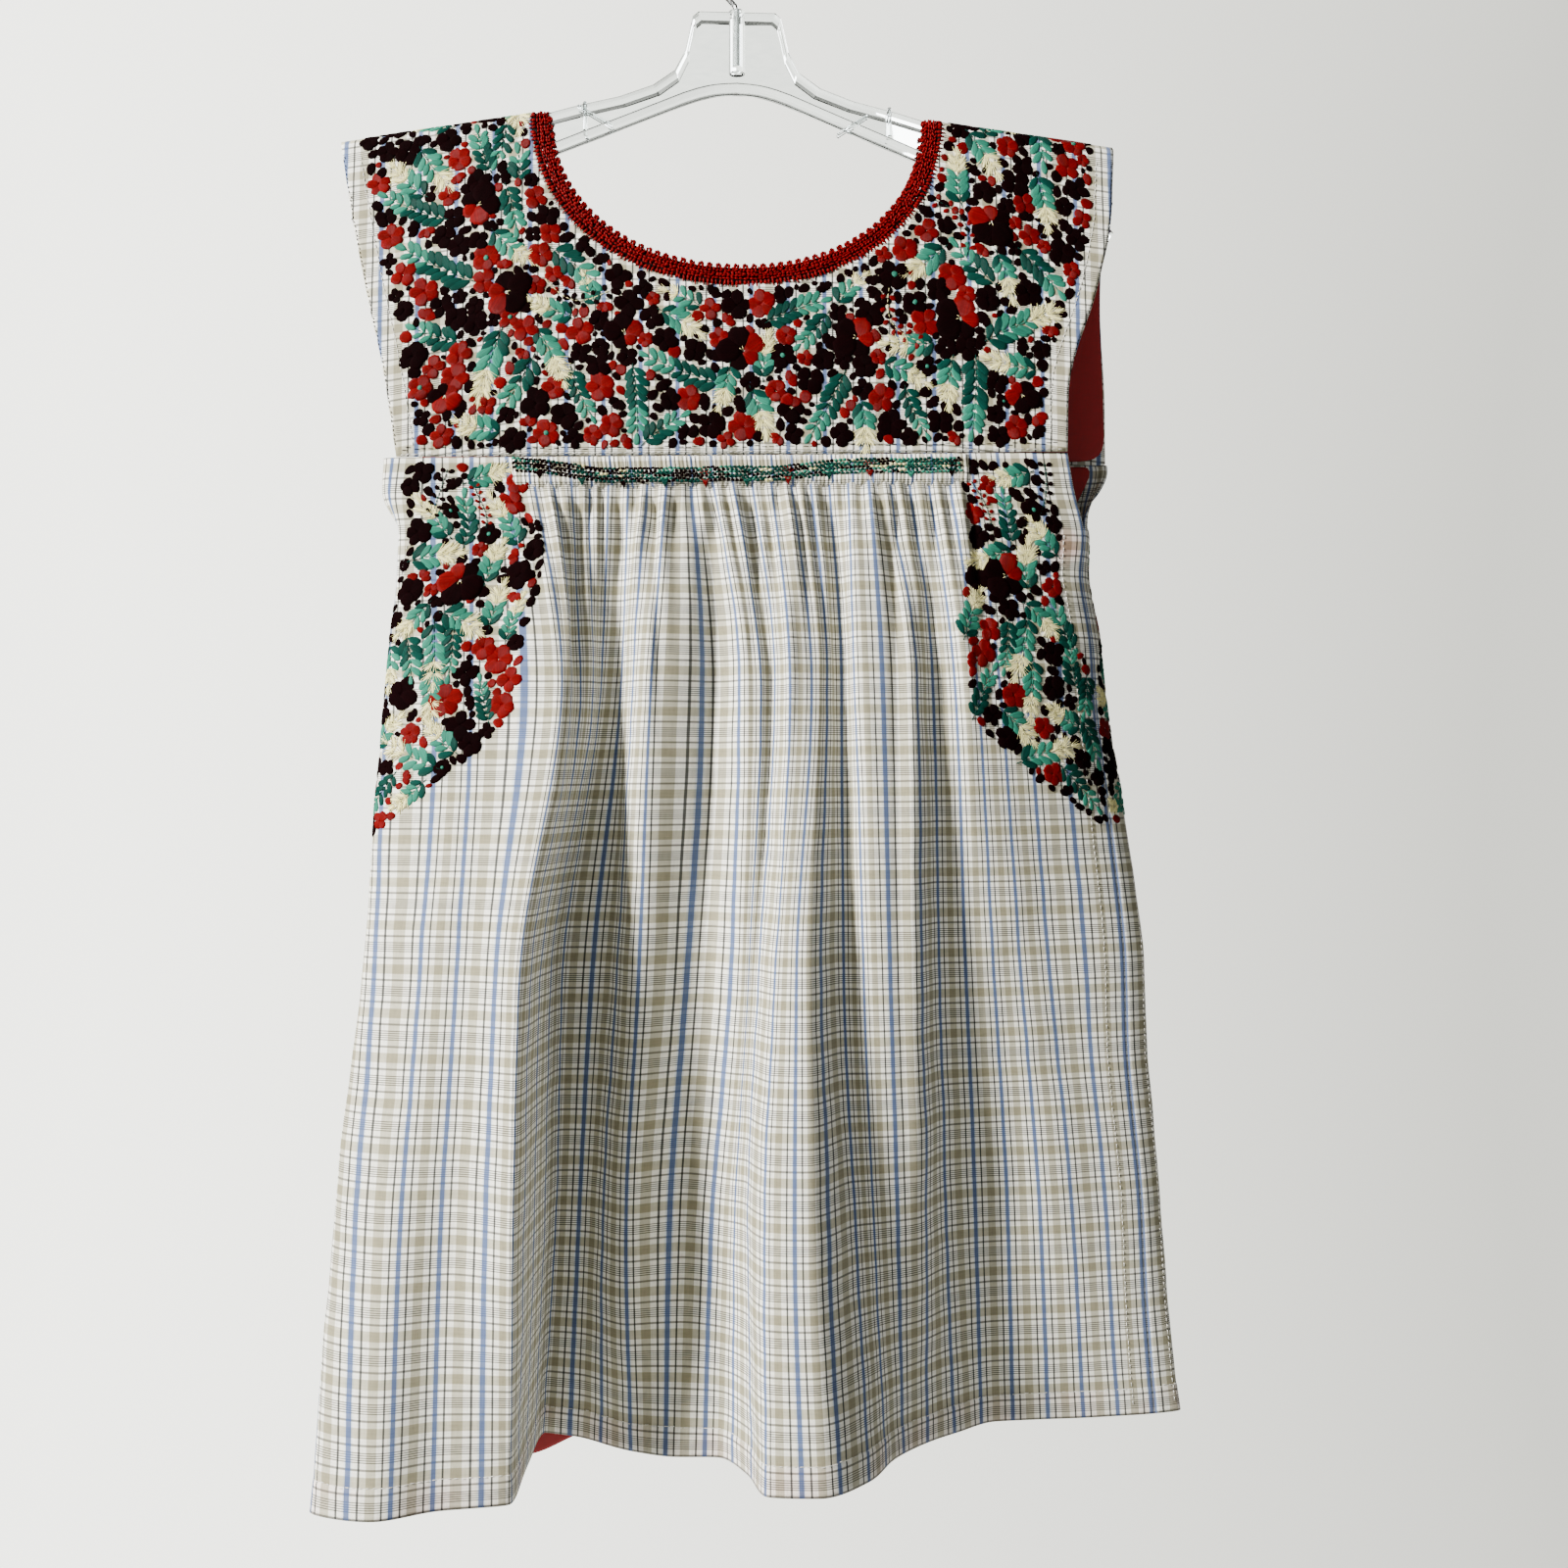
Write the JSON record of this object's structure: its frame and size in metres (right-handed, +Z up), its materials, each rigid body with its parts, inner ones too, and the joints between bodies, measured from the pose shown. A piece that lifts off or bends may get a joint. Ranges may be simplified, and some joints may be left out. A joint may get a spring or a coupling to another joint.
{
  "type": "embroidered blouse on a clear hanger",
  "caption": "Sleeveless smocked cotton blouse with an embroidered yoke and crocheted neck edging, hung front outward on a clear moulded hanger.",
  "frame": {"origin": "inside top of the hanger's hook, where a rod bears on it", "axes": "+X to the viewer's right, -Y out of the blouse's front, +Z up"},
  "size_m": [0.4738, 0.1624, 0.8656],
  "materials": {
    "plaid": "woven cotton plaid, cream ground with beige bands, charcoal lines and blue stripes",
    "smocking": "gathered cotton held by teal, mint, cream and black pattern stitches",
    "trim": "crimson crocheted cotton thread",
    "lining": "crimson smooth woven lining",
    "thread_red": "red satin stitch cotton thread",
    "thread_dark": "near black maroon satin stitch thread",
    "thread_green": "teal and jade satin stitch thread",
    "thread_cream": "cream satin stitch and sewing thread",
    "clear": "clear moulded plastic",
    "wire": "bright steel wire"
  },
  "bodies": {
    "root": {"yoke_front": "plaid", "yoke_back": "plaid", "body_front": "plaid", "body_back": "plaid", "smocking_front": "smocking", "smocking_back": "smocking", "neck_trim_front": "trim", "neck_trim_back": "trim", "lining_yoke_back": "lining", "lining_front": "lining", "lining_back": "lining", "hanger_body": "clear", "hanger_hook": "wire"}
  },
  "joints": []
}
